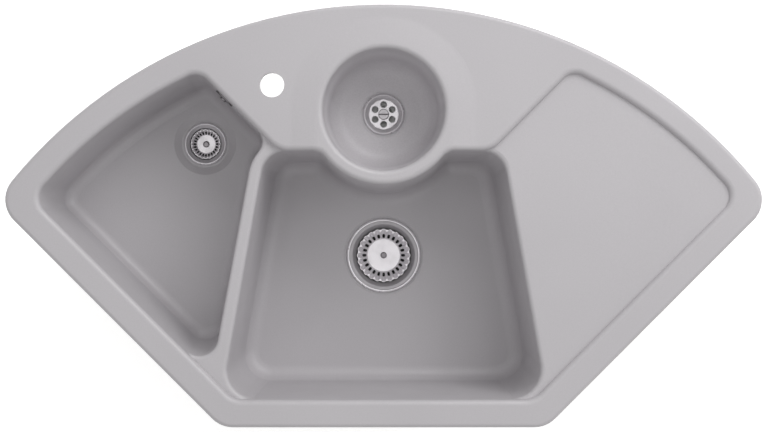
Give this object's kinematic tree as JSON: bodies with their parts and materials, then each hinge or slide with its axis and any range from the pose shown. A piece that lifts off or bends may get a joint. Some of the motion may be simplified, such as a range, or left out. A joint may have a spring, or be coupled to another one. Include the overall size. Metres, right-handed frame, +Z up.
{
  "type": "corner kitchen sink",
  "caption": "Inset corner kitchen sink in grey glazed fireclay with bowls, a drainer, strainers and their wastes.",
  "frame": {"origin": "middle of the rim's width, 300 mm behind its straight front edge, on the plane of its underside, which rests on the worktop", "axes": "+X to the right seen from the front edge, towards the drainer, +Y to the curved back, +Z up"},
  "size_m": [1.077, 0.6019, 0.279],
  "materials": {
    "fireclay": "satin grey glaze, faintly speckled",
    "pressed_steel": "satin stainless steel, polished on the beads",
    "bright_steel": "polished",
    "screw_steel": "turned stainless steel",
    "rubber": "matte black",
    "waste_plastic": "moulded white polypropylene",
    "nut_plastic": "moulded grey polypropylene"
  },
  "bodies": {
    "sink": {"main_body_seal": "rubber", "main_centre_screw": "screw_steel", "main_flange_cup": "pressed_steel", "main_flange_seal": "rubber", "main_waste_body": "waste_plastic", "overflow_elbow": "waste_plastic", "overflow_nuts": "nut_plastic", "overflow_pipe": "waste_plastic", "overflow_pipe_seals": "rubber", "overflow_rosette": "bright_steel", "overflow_screw": "screw_steel", "overflow_wall_seal": "rubber", "round_body_seal": "rubber", "round_centre_screw": "screw_steel", "round_flange_seal": "rubber", "round_strainer": "pressed_steel", "round_waste_body": "waste_plastic", "side_body_seal": "rubber", "side_centre_screw": "screw_steel", "side_flange_cup": "pressed_steel", "side_flange_seal": "rubber", "side_waste_body": "waste_plastic", "sink_body": "fireclay"},
    "main_basket_unit": {"main_basket": "pressed_steel", "main_basket_stem": "screw_steel", "main_basket_plug": "rubber"},
    "side_basket_unit": {"side_basket": "pressed_steel", "side_basket_stem": "screw_steel", "side_basket_plug": "rubber"}
  },
  "joints": [
    {"name": "main_basket_lift", "type": "slide", "parent": "sink", "child": "main_basket_unit", "axis": [0, 0, 1], "range_m": [0, 0.25]},
    {"name": "side_basket_lift", "type": "slide", "parent": "sink", "child": "side_basket_unit", "axis": [0, 0, 1], "range_m": [0, 0.2]}
  ]
}
